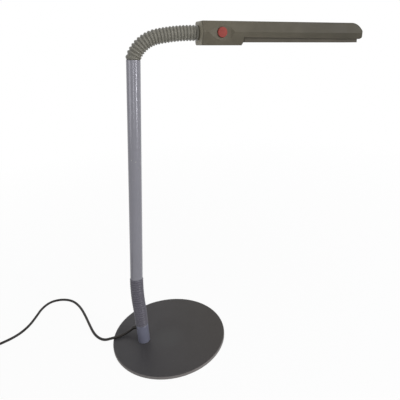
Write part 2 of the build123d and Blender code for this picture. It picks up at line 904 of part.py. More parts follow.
# Spring clip that holds the far end of the tubes
clip_leg = tube_spacing / 2 + tube_diameter / 2 + fit_gap
clip_foot = -tube_drop - tube_diameter / 4
with BuildPart() as tube_clip:
    with BuildSketch(across(clip_place)):
        with BuildLine():
            Polyline(
                (-clip_leg - clip_thickness, clip_foot),
                (-clip_leg - clip_thickness, reflector_under),
                (clip_leg + clip_thickness, reflector_under),
                (clip_leg + clip_thickness, clip_foot),
                (clip_leg, clip_foot),
                (clip_leg, reflector_under - clip_thickness),
                (-clip_leg, reflector_under - clip_thickness),
                (-clip_leg, clip_foot),
                close=True,
            )
        make_face()
    extrude(amount=clip_length)
save(tube_clip.part, "tube_clip")

# Push switch: body, red button, plunger and return spring
button_front = -eye_floor - button_proud
flange_front = eye_back + fit_gap
button_back = flange_front + button_flange_thickness
plunger_end = button_back + plunger_length
bore_depth = plunger_end + button_travel + cut_over - switch_low[1]


def on_button_axis(y):
    """A plane square to the button's axis, facing -Y."""
    return Plane(origin=head_point(button_place, y, button_rise), x_dir=along, z_dir=(0, -1, 0))


with BuildPart() as switch_body:
    head_box(switch_low, switch_high)
    with BuildSketch(on_button_axis(switch_low[1])):
        Circle(plunger_diameter / 2 + fit_gap)
    extrude(amount=-bore_depth, mode=Mode.SUBTRACT)
save(switch_body.part, "switch_body")

with BuildPart() as button:
    with BuildSketch(on_button_axis(button_back)):
        Circle(button_diameter / 2)
    extrude(amount=button_back - button_front)
    fillet(button.faces().sort_by(Axis.Y)[0].edges(), button_dome)
    with BuildSketch(on_button_axis(button_back)):
        Circle(button_flange_diameter / 2)
    extrude(amount=button_flange_thickness)
save(button.part, "button")

with BuildPart() as button_plunger:
    with BuildSketch(on_button_axis(button_back)):
        Circle(plunger_diameter / 2)
    extrude(amount=-plunger_length)
save(button_plunger.part, "button_plunger")

spring_room = switch_low[1] - button_back
spring_radius = (spring_diameter - spring_wire) / 2
spring_height = spring_room - spring_wire - 2 * thread_gap
spring_base = on_button_axis(switch_low[1] - spring_wire / 2 - thread_gap)
spring_line = spring_base.location * Helix(spring_height / spring_turns, spring_height, spring_radius)
with BuildPart() as button_spring:
    with BuildSketch(Plane(origin=spring_line @ 0, z_dir=spring_line % 0)):
        Circle(spring_wire / 2)
    sweep(path=spring_line)
save(button_spring.part, "button_spring")

# Terminal block, its screws and the leads in the head
with BuildPart() as terminal_block:
    head_box(terminal_low, terminal_high)
    for row in terminal_rows:
        for column in terminal_columns:
            u = terminal_start + terminal_length * column
            y = terminal_side + terminal_width * row
            head_bar(u, y, 0, terminal_high[2], screw_radius, Mode.SUBTRACT)
save(terminal_block.part, "terminal_block")

with BuildPart() as terminal_screws:
    for row in terminal_rows:
        for column in terminal_columns:
            u = terminal_start + terminal_length * column
            y = terminal_side + terminal_width * row
            head_bar(u, y, 0, terminal_high[2] - screw_head_height, screw_radius - thread_gap)
save(terminal_screws.part, "terminal_screws")


def corner_radii(points):
    """For each inner point, the radius of an arc that takes 0.45 of the shorter of its two runs."""
    radii = []
    for before, here, after in zip(points[:-2], points[1:-1], points[2:]):
        first = here - before
        second = after - here
        half_turn = radians(first.get_angle(second)) / 2
        radii.append(0.45 * min(first.length, second.length) / tan(half_turn))
    return radii


def rounded_route(points):
    """A line through points, with an arc at each corner as large as its two runs allow."""
    return FilletPolyline(*points, radius=corner_radii(points))


def wire_along(points, radius):
    """A round cord that follows a rounded route."""
    route = rounded_route(points)
    with BuildPart() as cord:
        with BuildSketch(Plane(origin=points[0], z_dir=points[1] - points[0])):
            Circle(radius)
        sweep(path=route)
    return cord.part


lead_start = spigot_end + core_nose
lead_rise = 0.9 * lead_diameter
lead_drop = -terminal_height / 4
lead_rows = [terminal_side + terminal_width * row for row in terminal_rows]
leads = []
for rise, row in zip((-lead_rise, lead_rise), lead_rows):
    to_terminals = [
        head_point(lead_start, 0, rise),
        head_point(lead_start + lead_stub, 0, rise),
        head_point(terminal_start - lead_stub, row, lead_drop),
        head_point(terminal_start, row, lead_drop),
    ]
    leads.append(wire_along(to_terminals, lead_diameter / 2))
with BuildPart() as head_leads:
    for piece in leads:
        add(piece)
    with BuildSketch(across(terminal_high[0])):
        with Locations(*[(row, lead_drop) for row in lead_rows]):
            Circle(lead_diameter / 2)
    extrude(amount=holder_low[0] - terminal_high[0])
save(head_leads.part, "head_leads")

# Cable inside the collar, from the cord's entry up into the lower neck
entry = exit_axis + exit_way * (relief_flange_seat - relief_flange_thickness)
core_entry = Vector(-foot_back, 0, collar_top - core_seat)
save(wire_along([entry, exit_axis, core_entry], cord_radius), "collar_cable")

# Strain relief at the collar: root in the wall, then a grooved taper that droops with the cord
relief_bend = Vector(-62.3, 20.5, 26.2)
cord_drop = Vector(-73.6, 25.0, 15.0)
relief_end = relief_bend + (cord_drop - relief_bend).normalized() * relief_reach
relief_route = rounded_route([entry, relief_bend, relief_end])
relief_start = collar_radius - (relief_flange_seat - relief_flange_thickness)


def grooved_taper(route, from_distance, root_diameter, tip_diameter, bands):
    """A taper with grooves round it along a route, from a distance to the route's end."""
    length = route.length
    band = (length - from_distance) / bands
    rings = [(from_distance, root_diameter / 2)]
    for number in range(1, bands):
        share = number / bands
        radius = (root_diameter + (tip_diameter - root_diameter) * share) / 2
        middle = from_distance + band * number
        rings.append((middle - 0.25 * band, radius))
        rings.append((middle - 0.15 * band, radius - relief_groove))
        rings.append((middle + 0.15 * band, radius - relief_groove))
        rings.append((middle + 0.25 * band, radius))
    rings.append((length, tip_diameter / 2))
    with BuildPart() as taper:
        for distance, radius in rings:
            heading = route % (distance / length)
            sideways = heading.cross(Vector(0, 0, 1))
            with BuildSketch(Plane(origin=route @ (distance / length), x_dir=sideways, z_dir=heading)):
                Circle(radius)
        loft(ruled=True)
    return taper.part


relief_taper = grooved_taper(
    relief_route, relief_start, relief_root_diameter, relief_tip_diameter, relief_bands
)
with BuildPart() as cord_relief:
    add(relief_taper)
    with BuildSketch(Plane(origin=entry, z_dir=exit_way)):
        Circle(relief_root_diameter / 2)
    extrude(amount=relief_start)
    with BuildSketch(Plane(origin=entry, z_dir=exit_way)):
        Circle(relief_flange_diameter / 2)
    extrude(amount=relief_flange_thickness)
save(cord_relief.part, "cord_relief")

# Cord: its route over the plate and the table, as points chosen by hand
coil_entry_y = coil_centre_y + coil_outer_radius
cord_route = [
    relief_end,
    cord_drop,
    Vector(-86.5, 24.6, 10.0),
    Vector(-98.5, 22.6, 9.3),
    Vector(-112.5, 22.6, 9.1),
    Vector(-125.5, 27.6, 4.9),
    Vector(-136.5, 39.5, floor_height),
    Vector(-146.0, 57.0, floor_height),
    Vector(-154.0, 88.0, floor_height),
    Vector(-163.0, 127.0, floor_height),
    Vector(-174.0, 163.0, floor_height),
    Vector(-190.0, 191.0, floor_height),
    Vector(-214.0, 206.0, floor_height),
    Vector(-240.0, 206.0, floor_height),
    Vector(-258.0, 187.0, floor_height),
    Vector(-268.0, 160.0, floor_height),
    Vector(-281.0, 131.0, floor_height),
    Vector(-303.0, 108.0, floor_height),
    Vector(-341.0, coil_entry_y, floor_height),
    Vector(coil_centre_x, coil_entry_y, floor_height),
]
mains_cord = wire_along(cord_route, cord_radius)
save(mains_cord, "mains_cord")


def half_turns():
    """The arcs of the coil: in along the table, up one layer at the inside, and out again above."""
    layer = 2 * coil_step
    arcs = []
    y = coil_entry_y
    z = floor_height
    way = -1
    radii = [coil_outer_radius - coil_step * number for number in range(coil_half_turns)]
    climb = radii[-1] - coil_step
    climb_width = (climb**2 - coil_step**2) ** 0.5
    steps = [(radius, radius, 0) for radius in radii]
    steps += [(climb, climb_width, layer)]
    steps += [(radius, radius, 0) for radius in radii[:0:-1]]
    for bulge, half_width, rise in steps:
        end_y = y + 2 * half_width * way
        middle = (coil_centre_x + bulge * way, (y + end_y) / 2, z + rise / 2)
        arcs.append(ThreePointArc((coil_centre_x, y, z), middle, (coil_centre_x, end_y, z + rise)))
        y = end_y
        z += rise
        way = -way
    return Wire(arcs)


coil_line = half_turns()
with BuildPart() as cord_coil:
    with BuildSketch(Plane(origin=coil_line @ 0, x_dir=(0, 1, 0), z_dir=coil_line % 0)):
        Circle(cord_radius)
    sweep(path=coil_line)
save(cord_coil.part, "cord_coil")

# Tail of the cord, from the coil's upper layer down to the plug
tail_height = floor_height + 2 * coil_step
coil_end = coil_line @ 1
plug_mouth = plug_y + plug_relief_length
tail_route = [
    coil_end,
    Vector(-394.0, coil_end.Y, tail_height),
    Vector(-415.0, 91.5, 5.5),
    Vector(-434.0, 81.0, 3.2),
    Vector(-447.0, 64.5, 3.4),
    Vector(plug_x, 48.0, plug_entry_height),
    Vector(plug_x, plug_mouth, plug_entry_height),
]
cord_tail = wire_along(tail_route, cord_radius)
save(cord_tail, "cord_tail")

# Choke plug: u runs from the cord's entry to the pins, v across, and height from the table
plug_frame = Plane(origin=(plug_x, plug_y, 0), x_dir=(0, -1, 0), z_dir=(0, 0, 1))
split = plug_height / 2
plug_screw_spots = ((plug_boss_place, -plug_boss_side), (plug_boss_place, plug_boss_side))
pin_spots = ((-pin_spacing / 2, 0), (pin_spacing / 2, 0))
core_low = split - choke_height / 2
choke_middle = choke_start + choke_length / 2
choke_seat_shift = (choke_length - choke_seat) / 2
choke_seats = ((choke_middle - choke_seat_shift, 0), (choke_middle + choke_seat_shift, 0))


def plug_end(u, height):
    """A plane across the plug, facing its pins."""
    origin = plug_frame.from_local_coords(Vector(u, 0, height))
    return Plane(origin=origin, x_dir=(1, 0, 0), z_dir=(0, -1, 0))


with BuildPart() as plug_blank:
    with BuildSketch(plug_frame):
        with Locations((plug_length / 2, 0)):
            RectangleRounded(plug_length, plug_width, plug_side_radius)
    extrude(amount=plug_height)
    fillet(plug_blank.faces().sort_by(Axis.Z)[0].edges(), plug_edge_radius)
    fillet(plug_blank.faces().sort_by(Axis.Z)[-1].edges(), plug_edge_radius)
    with BuildSketch(plug_frame.offset(plug_wall)):
        with Locations((plug_length / 2, 0)):
            inner_corner = plug_side_radius - plug_wall
            RectangleRounded(plug_length - 2 * plug_wall, plug_width - 2 * plug_wall, inner_corner)
    extrude(amount=plug_height - 2 * plug_wall, mode=Mode.SUBTRACT)
    with BuildSketch(plug_frame.offset(plug_wall)):
        with Locations(*plug_screw_spots):
            Circle(boss_radius)
    extrude(amount=plug_height - 2 * plug_wall)
    for seat_low in (plug_wall, core_low + choke_height):
        with BuildSketch(plug_frame.offset(seat_low)):
            with Locations(*choke_seats):
                Rectangle(choke_seat, choke_width)
        extrude(amount=core_low - plug_wall)
    with BuildSketch(plug_end(-cut_over, plug_entry_height)):
        Circle(plug_relief_root / 2 + thread_gap)
    extrude(amount=plug_wall + 2 * cut_over, mode=Mode.SUBTRACT)
    with BuildSketch(plug_end(plug_length - plug_wall - cut_over, split)):
        with Locations(*pin_spots):
            Circle(pin_diameter / 2 + thread_gap)
    extrude(amount=plug_wall + 2 * cut_over, mode=Mode.SUBTRACT)
    with BuildSketch(plug_frame):
        with Locations(*plug_screw_spots):
            Circle(screw_head_diameter / 2 + fit_gap)
    extrude(amount=plug_wall, mode=Mode.SUBTRACT)
    with BuildSketch(plug_frame):
        with Locations(*plug_screw_spots):
            Circle(screw_radius + thread_gap)
    extrude(amount=plug_height - 2 * plug_wall, mode=Mode.SUBTRACT)

for name, facing in (("plug_lower_case", -1), ("plug_upper_case", 1)):
    with BuildPart() as plug_case:
        add(plug_blank.part)
        with BuildSketch(plug_frame.offset(split)):
            with Locations((plug_length / 2, 0)):
                Rectangle(2 * plug_length, 2 * plug_width)
        extrude(amount=facing * plug_height, mode=Mode.INTERSECT)
    save(plug_case.part, name)

with BuildPart() as plug_screws:
    with BuildSketch(plug_frame.offset(fit_gap)):
        with Locations(*plug_screw_spots):
            Circle(screw_head_diameter / 2)
    extrude(amount=plug_wall - fit_gap)
    with BuildSketch(plug_frame.offset(plug_wall)):
        with Locations(*plug_screw_spots):
            Circle(screw_radius)
    extrude(amount=plug_height - 4 * plug_wall)
save(plug_screws.part, "plug_screws")

with BuildPart() as plug_pins:
    with BuildSketch(plug_end(plug_length - pin_root, split)):
        with Locations(*pin_spots):
            Circle(pin_diameter / 2)
    extrude(amount=pin_root + pin_length)
    fillet(plug_pins.faces().group_by(Axis.Y)[0].edges(), pin_diameter / 4)
    with BuildSketch(plug_end(plug_length - plug_wall - pin_flange_thickness - thread_gap, split)):
        with Locations(*pin_spots):
            Circle(pin_flange_diameter / 2)
    extrude(amount=pin_flange_thickness)
save(plug_pins.part, "plug_pins")

plug_relief_route = Wire(
    [Line((plug_x, plug_y, plug_entry_height), (plug_x, plug_mouth, plug_entry_height))]
)
plug_taper = grooved_taper(plug_relief_route, 0, plug_relief_root, relief_tip_diameter, relief_bands)
with BuildPart() as plug_relief:
    add(plug_taper)
    with BuildSketch(plug_end(0, plug_entry_height)):
        Circle(plug_relief_root / 2)
    extrude(amount=plug_wall + relief_flange_thickness)
save(plug_relief.part, "plug_relief")

# Choke: a laminated core with a window on each side, and the winding round its middle limb
middle_limb = choke_width / 2 - choke_window / 2
window_side = middle_limb / 2 + choke_window / 4
with BuildPart() as choke_core:
    with BuildSketch(plug_frame.offset(core_low)):
        with Locations((choke_middle, 0)):
            Rectangle(choke_length, choke_width)
        with Locations((choke_middle, -window_side), (choke_middle, window_side)):
            Rectangle(choke_length - choke_window, choke_window / 2, mode=Mode.SUBTRACT)
    extrude(amount=choke_height)
save(choke_core.part, "choke_core")

winding_length = choke_length - choke_window - slide_gap
winding_side = (choke_window - slide_gap) / 2
with BuildPart() as choke_winding:
    with BuildSketch(plug_frame.offset(core_low - winding_side)):
        with Locations((choke_middle, 0)):
            Rectangle(winding_length, middle_limb + 2 * winding_side)
    extrude(amount=choke_height + 2 * winding_side)
    with BuildSketch(plug_frame.offset(core_low - fit_gap)):
        with Locations((choke_middle, 0)):
            Rectangle(choke_length, middle_limb + 2 * fit_gap)
    extrude(amount=choke_height + 2 * fit_gap, mode=Mode.SUBTRACT)
save(choke_winding.part, "choke_winding")


# Measurements of the cord: radii, volume against length, and the coil's gap to itself
def report_tube(name, solid, points, radius):
    route = rounded_route(points)
    radii = ", ".join(f"{corner:.0f}" for corner in corner_radii(points))
    expected = pi * radius**2 * route.length
    print(f"{name}: length {route.length:.0f}, volume ratio {solid.volume / expected:.4f}, radii {radii}")


report_tube("mains_cord", mains_cord, cord_route, cord_radius)
report_tube("cord_tail", cord_tail, tail_route, cord_radius)
coil_samples = 480
sample_length = coil_line.length / coil_samples
coil_points = [coil_line @ (number / coil_samples) for number in range(coil_samples + 1)]
skipped = int(2 * pi * cord_diameter / sample_length)
least = min(
    (coil_points[first] - coil_points[second]).length
    for first in range(coil_samples + 1)
    for second in range(first + skipped, coil_samples + 1)
)
print(f"coil: length {coil_line.length:.0f}, least gap to itself {least - cord_diameter:.2f}")
print(f"head starts at x {head_x:.1f}, z {head_z:.1f}, {degrees(head_heading) - 90:.1f} degrees down")
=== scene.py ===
"""Looks of the desk lamp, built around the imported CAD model.

Everything ends up in metres, in the CAD's frame. Paths and radii are set down in millimetres.
"""

import json
import math

import bpy
from mathutils import Matrix, Vector


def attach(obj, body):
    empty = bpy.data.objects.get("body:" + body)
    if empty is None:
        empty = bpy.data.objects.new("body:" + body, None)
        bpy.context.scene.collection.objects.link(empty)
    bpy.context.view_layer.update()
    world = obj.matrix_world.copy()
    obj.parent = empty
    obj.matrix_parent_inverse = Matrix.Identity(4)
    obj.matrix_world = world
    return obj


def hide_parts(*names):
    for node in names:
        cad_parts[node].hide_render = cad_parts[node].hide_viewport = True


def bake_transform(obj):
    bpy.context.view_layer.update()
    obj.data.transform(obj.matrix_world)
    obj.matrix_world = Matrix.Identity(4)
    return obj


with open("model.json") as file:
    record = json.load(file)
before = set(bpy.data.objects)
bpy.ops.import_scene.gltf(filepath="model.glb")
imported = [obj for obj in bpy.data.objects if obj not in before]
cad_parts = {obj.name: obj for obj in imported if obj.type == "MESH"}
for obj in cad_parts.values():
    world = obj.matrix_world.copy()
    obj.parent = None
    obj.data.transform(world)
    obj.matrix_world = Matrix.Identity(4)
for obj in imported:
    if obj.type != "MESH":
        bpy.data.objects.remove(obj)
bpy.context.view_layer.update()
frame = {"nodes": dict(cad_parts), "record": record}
nodes = frame["nodes"]
MM = 0.001


# Materials


def new_material(name, colour, roughness, metallic=0.0, specular=0.5):
    """A material with its constants set on the shader, and its node tree ready for more."""
    made = bpy.data.materials.new(name)
    made.use_nodes = True
    shader = made.node_tree.nodes["Principled BSDF"]
    shader.inputs["Base Color"].default_value = (*colour, 1)
    shader.inputs["Roughness"].default_value = roughness
    shader.inputs["Metallic"].default_value = metallic
    shader.inputs["Specular IOR Level"].default_value = specular
    return made, made.node_tree, shader


def noise(tree, scale, detail=4.0, roughness=0.55, stretch=(1, 1, 1)):
    """Noise in the object's own coordinates; the scale is in cells to the metre."""
    coordinates = tree.nodes.new("ShaderNodeTexCoord")
    mapping = tree.nodes.new("ShaderNodeMapping")
    mapping.inputs["Scale"].default_value = stretch
    texture = tree.nodes.new("ShaderNodeTexNoise")
    texture.inputs["Scale"].default_value = scale
    texture.inputs["Detail"].default_value = detail
    texture.inputs["Roughness"].default_value = roughness
    tree.links.new(coordinates.outputs["Object"], mapping.inputs["Vector"])
    tree.links.new(mapping.outputs["Vector"], texture.inputs["Vector"])
    return texture.outputs["Fac"]


def ranged(tree, value, low, high, to_low, to_high):
    """The value moved from one range to another, held at its ends."""
    node = tree.nodes.new("ShaderNodeMapRange")
    node.inputs["From Min"].default_value = low
    node.inputs["From Max"].default_value = high
    node.inputs["To Min"].default_value = to_low
    node.inputs["To Max"].default_value = to_high
    tree.links.new(value, node.inputs["Value"])
    return node.outputs["Result"]


def along_axis(tree, axis, low, high):
    """A share that grows from 0 to 1 between two places on an axis of the object."""
    coordinates = tree.nodes.new("ShaderNodeTexCoord")
    split = tree.nodes.new("ShaderNodeSeparateXYZ")
    tree.links.new(coordinates.outputs["Object"], split.inputs["Vector"])
    return ranged(tree, split.outputs[axis], low, high, 0, 1)


def distance_from(tree, place):
    """The distance from a place of the object, in metres."""
    coordinates = tree.nodes.new("ShaderNodeTexCoord")
    node = tree.nodes.new("ShaderNodeVectorMath")
    node.operation = "DISTANCE"
    node.inputs[1].default_value = place
    tree.links.new(coordinates.outputs["Object"], node.inputs[0])
    return node.outputs["Value"]


def distance_along(tree, place, way):
    """How far the surface lies from a place, measured along a direction, in metres."""
    coordinates = tree.nodes.new("ShaderNodeTexCoord")
    moved = tree.nodes.new("ShaderNodeVectorMath")
    moved.operation = "SUBTRACT"
    moved.inputs[1].default_value = place
    measured = tree.nodes.new("ShaderNodeVectorMath")
    measured.operation = "DOT_PRODUCT"
    measured.inputs[1].default_value = way
    tree.links.new(coordinates.outputs["Object"], moved.inputs[0])
    tree.links.new(moved.outputs[0], measured.inputs[0])
    return measured.outputs["Value"]


def mixed(tree, share, first, second):
    """A colour between two, which are colours or sockets."""
    node = tree.nodes.new("ShaderNodeMix")
    node.data_type = "RGBA"
    tree.links.new(share, node.inputs[0])
    for socket, colour in ((node.inputs[6], first), (node.inputs[7], second)):
        if isinstance(colour, bpy.types.NodeSocket):
            tree.links.new(colour, socket)
        else:
            socket.default_value = (*colour, 1)
    return node.outputs[2]


def shade(colour, factor):
    """The colour made lighter or darker."""
    return tuple(min(1.0, part * factor) for part in colour)


def add_bump(tree, shader, height, strength, distance):
    """A relief on the shader; the distance is its height in metres."""
    node = tree.nodes.new("ShaderNodeBump")
    node.inputs["Strength"].default_value = strength
    node.inputs["Distance"].default_value = distance
    tree.links.new(height, node.inputs["Height"])
    tree.links.new(node.outputs["Normal"], shader.inputs["Normal"])


def textured_plastic(
    name, colour, roughness=0.55, grain=1500, depth=0.00006, cloud=0.12, specular=0.3, far=None
):
    """Moulded plastic with a fine sparked grain, and slow changes of colour and gloss over it.

    Where far is given, as an axis, two places and a colour, the colour turns into it between them.
    """
    made, tree, shader = new_material(name, colour, roughness, 0.0, specular)
    slow = ranged(tree, noise(tree, 24, 5), 0.3, 0.7, 0, 1)
    tint = mixed(tree, slow, shade(colour, 1 - cloud), shade(colour, 1 + cloud))
    if far:
        axis, low, high, other = far
        turned = mixed(tree, slow, shade(other, 1 - cloud), shade(other, 1 + cloud))
        tint = mixed(tree, along_axis(tree, axis, low, high), tint, turned)
    fine = noise(tree, grain, 2)
    specks = ranged(tree, fine, 0.35, 0.65, 1 - 0.4 * cloud, 1 + 0.4 * cloud)
    speckled = tree.nodes.new("ShaderNodeVectorMath")
    speckled.operation = "SCALE"
    tree.links.new(tint, speckled.inputs[0])
    tree.links.new(specks, speckled.inputs["Scale"])
    tree.links.new(speckled.outputs[0], shader.inputs["Base Color"])
    worn = ranged(tree, noise(tree, 60, 4), 0.3, 0.7, roughness - 0.07, roughness + 0.07)
    tree.links.new(worn, shader.inputs["Roughness"])
    if depth:
        add_bump(tree, shader, fine, 0.35, depth)
    return made


def paint(name, colour, roughness, orange_peel=0.00002, cloud=0.06, specular=0.5, smear=0.07):
    """Sprayed paint on metal: a slight orange peel, and a gloss that changes with handling."""
    made, tree, shader = new_material(name, colour, roughness, 0.0, specular)
    slow = ranged(tree, noise(tree, 14, 5), 0.3, 0.7, 0, 1)
    tint = mixed(tree, slow, shade(colour, 1 - cloud), shade(colour, 1 + cloud))
    tree.links.new(tint, shader.inputs["Base Color"])
    smears = ranged(tree, noise(tree, 35, 6), 0.3, 0.72, roughness - smear, roughness + smear)
    tree.links.new(smears, shader.inputs["Roughness"])
    if orange_peel:
        add_bump(tree, shader, noise(tree, 700, 2), 0.25, orange_peel)
    return made, tree, shader, tint


def metal(name, colour, roughness, stretch=(1, 1, 1)):
    """Bare or plated metal with fine scratches and patches of wear."""
    made, tree, shader = new_material(name, colour, roughness, 1.0)
    slow = ranged(tree, noise(tree, 90, 4), 0.3, 0.7, 0, 1)
    tree.links.new(mixed(tree, slow, shade(colour, 0.86), colour), shader.inputs["Base Color"])
    fine = noise(tree, 900, 3, 0.6, stretch=stretch)
    scratched = ranged(tree, fine, 0.3, 0.7, roughness - 0.08, roughness + 0.1)
    tree.links.new(scratched, shader.inputs["Roughness"])
    add_bump(tree, shader, fine, 0.2, 0.00002)
    return made


def base_paint():
    """Satin dark grey, browner below the head, with dust, a rubbed place and a pale painted
    highlight round its edge.
    """
    colour = (0.066, 0.063, 0.066)
    made, tree, shader, tint = paint(
        "base_paint", colour, 0.45, orange_peel=0.00003, cloud=0.07, specular=0.25
    )
    warm = mixed(tree, along_axis(tree, "X", -0.06, 0.1), tint, (0.064, 0.057, 0.052))
    dust = ranged(tree, noise(tree, 420, 2), 0.66, 0.72, 0, 0.4)
    dusty = mixed(tree, dust, warm, (0.11, 0.105, 0.1))
    rubbed = ranged(tree, distance_from(tree, (-0.005, -0.012, 0.006)), 0.012, 0.035, 0.35, 0)
    patch = mixed(tree, rubbed, dusty, (0.085, 0.087, 0.084))
    # Painted highlight: a pale band round the plate's edge stands in for light reflected there.
    rim_highlight = ranged(tree, distance_from(tree, (0, 0, 0.003)), 0.1094, 0.1104, 0, 0.75)
    tree.links.new(mixed(tree, rim_highlight, patch, (0.24, 0.22, 0.212)), shader.inputs["Base Color"])
    return made


def pole_paint():
    """Blue-grey metallic gloss with small chips down to a pale primer, half-way up on one side."""
    colour = (0.235, 0.232, 0.262)
    made, tree, shader, tint = paint(
        "pole_paint", colour, 0.2, orange_peel=0, cloud=0.02, smear=0.02
    )
    shader.inputs["Metallic"].default_value = 0.4
    near = along_axis(tree, "Z", 0.27, 0.34)
    far = along_axis(tree, "Z", 0.44, 0.37)
    band = tree.nodes.new("ShaderNodeMath")
    band.operation = "MULTIPLY"
    tree.links.new(near, band.inputs[0])
    tree.links.new(far, band.inputs[1])
    chips = tree.nodes.new("ShaderNodeMath")
    chips.operation = "ADD"
    spots = noise(tree, 210, 3, 0.6, stretch=(1, 1, 0.55))
    tree.links.new(spots, chips.inputs[0])
    tree.links.new(ranged(tree, band.outputs[0], 0, 1, -0.15, 0.045), chips.inputs[1])
    bare = ranged(tree, chips.outputs[0], 0.715, 0.725, 0, 1)
    tree.links.new(mixed(tree, bare, tint, (0.42, 0.4, 0.39)), shader.inputs["Base Color"])
    return made


def worn_red():
    """Red moulded plastic, duller and paler where fingers press it."""
    colour = (0.29, 0.042, 0.031)
    made, tree, shader = new_material("red", colour, 0.4, 0.0, 0.25)
    slow = ranged(tree, noise(tree, 130, 5), 0.3, 0.7, 0, 1)
    tint = mixed(tree, slow, shade(colour, 0.9), (0.32, 0.055, 0.042))
    tree.links.new(tint, shader.inputs["Base Color"])
    worn = ranged(tree, noise(tree, 300, 4), 0.3, 0.7, 0.3, 0.5)
    tree.links.new(worn, shader.inputs["Roughness"])
    add_bump(tree, shader, noise(tree, 1600, 2), 0.15, 0.00002)
    return made


def tube_glass():
    """White phosphor under clear glass."""
    made, tree, shader = new_material("tube_glass", (0.86, 0.87, 0.88), 0.12)
    slow = ranged(tree, noise(tree, 50, 3), 0.3, 0.7, 0, 1)
    tint = mixed(tree, slow, (0.8, 0.81, 0.82), (0.9, 0.91, 0.92))
    tree.links.new(tint, shader.inputs["Base Color"])
    shader.inputs["Coat Weight"].default_value = 0.6
    shader.inputs["Coat Roughness"].default_value = 0.05
    return made


# The middle of the head's rear face, in metres, and the way the head runs from it
HEAD_DROP = math.radians(4.1)
HEAD_START = (0.10024, 0, 0.57227)
HEAD_WAY = (math.cos(HEAD_DROP), 0, -math.sin(HEAD_DROP))
SHELL_COLOUR = (0.116, 0.103, 0.075)


def cap_plastic():
    """The head's plastic, with a paler flat rear face that is painted light."""
    painted_light_beige = (0.34, 0.31, 0.235)
    made = textured_plastic("rear_shell", SHELL_COLOUR, 0.5)
    tree = made.node_tree
    shader = tree.nodes["Principled BSDF"]
    plain = shader.inputs["Base Color"].links[0].from_socket
    # Painted light: the flat rear face takes a pale colour as if lit, and the plastic's own colour
    # starts just past it.
    place = distance_along(tree, HEAD_START, HEAD_WAY)
    side = ranged(tree, place, 0.0034, 0.0042, 0, 1)
    tree.links.new(mixed(tree, side, painted_light_beige, plain), shader.inputs["Base Color"])
    return made


# Where a colour changes along the lamp: an axis, two places on it and the colour beyond them
# Painted shade: the head's shell darkens along X towards its tip.
PAINTED_SHADE_TIP = ("X", 0.13, 0.34, (0.066, 0.059, 0.043))
# Painted light: the sleeve turns paler and more olive higher up, towards the head.
PAINTED_LIGHT_TOP = ("Z", 0.3, 0.5, (0.205, 0.195, 0.162))
MATERIALS = {
    "base_paint": base_paint(),
    "pole_paint": pole_paint(),
    "collar_paint": paint("collar_paint", (0.2, 0.205, 0.27), 0.34, orange_peel=0.000005)[0],
    "sleeve": textured_plastic(
        "sleeve",
        (0.125, 0.118, 0.143),
        0.35,
        grain=900,
        depth=0,
        cloud=0.02,
        specular=0.35,
        far=PAINTED_LIGHT_TOP,
    ),
    "shell": textured_plastic("shell", SHELL_COLOUR, 0.5, specular=0.2, far=PAINTED_SHADE_TIP),
    "rear_shell": cap_plastic(),
    "frame_shell": textured_plastic("frame_shell", (0.075, 0.065, 0.048), 0.5, specular=0.2),
    "red": worn_red(),
    "cord_sheath": textured_plastic(
        "cord_sheath", (0.016, 0.013, 0.011), 0.45, grain=600, depth=0.00003, cloud=0.2
    ),
    "pad": textured_plastic("pad", (0.02, 0.02, 0.02), 0.85, grain=500, depth=0.0002, cloud=0.2),
    "bush": textured_plastic("bush", (0.05, 0.05, 0.05), 0.45),
    "switch_black": textured_plastic("switch_black", (0.03, 0.03, 0.03), 0.35),
    "white_plastic": textured_plastic(
        "white_plastic", (0.72, 0.71, 0.67), 0.45, grain=1200, depth=0.00003, cloud=0.05
    ),
    "lead": textured_plastic("lead", (0.05, 0.09, 0.28), 0.4),
    "plug_case": textured_plastic(
        "plug_case", (0.022, 0.021, 0.021), 0.5, grain=1100, depth=0.00008, cloud=0.15
    ),
    "steel": metal("steel", (0.5, 0.5, 0.5), 0.34),
    "gooseneck": metal("gooseneck", (0.4, 0.4, 0.41), 0.38),
    "reflector": metal("reflector", (0.82, 0.82, 0.83), 0.2, stretch=(1, 12, 1)),
    "brass": metal("brass", (0.68, 0.5, 0.22), 0.3),
    "plated": metal("plated", (0.72, 0.72, 0.72), 0.16),
    "copper": metal("copper", (0.6, 0.25, 0.12), 0.35, stretch=(1, 30, 1)),
    "tube_glass": tube_glass(),
}
for subpart in frame["record"]["subparts"]:
    mesh = nodes[subpart["node"]].data
    mesh.materials.clear()
    mesh.materials.append(MATERIALS[subpart["material_slot"]])


def dressed(piece, slot, body=None, *replaced):
    """The finish, the body and the CAD nodes of a new piece."""
    piece.data.materials.append(MATERIALS[slot])
    if body:
        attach(piece, body)
    if replaced:
        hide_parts(*replaced)
    return piece


# Round pieces that follow a line


def rings_mesh(name, rings, segments, hollow=False):
    """A skin over rings, each an origin, a direction, a sideways vector and a radius.

    Its ends have caps, or where it is hollow its last ring joins its first.
    """
    verts = []
    faces = []
    for origin, direction, sideways, radius in rings:
        other = direction.cross(sideways)
        for number in range(segments):
            angle = 2 * math.pi * number / segments
            verts.append(origin + radius * (math.cos(angle) * sideways + math.sin(angle) * other))
    for ring in range(len(rings) if hollow else len(rings) - 1):
        below = ring * segments
        above = (ring + 1) % len(rings) * segments
        for number in range(segments):
            after = (number + 1) % segments
            faces.append((below + number, below + after, above + after, above + number))
    if not hollow:
        faces.append(tuple(reversed(range(segments))))
        faces.append(tuple(range((len(rings) - 1) * segments, len(rings) * segments)))
    mesh = bpy.data.meshes.new(name)
    mesh.from_pydata(verts, [], faces)
    mesh.polygons.foreach_set("use_smooth", [True] * len(faces))
    mesh.update()
    piece = bpy.data.objects.new(name, mesh)
    bpy.context.scene.collection.objects.link(piece)
    return piece


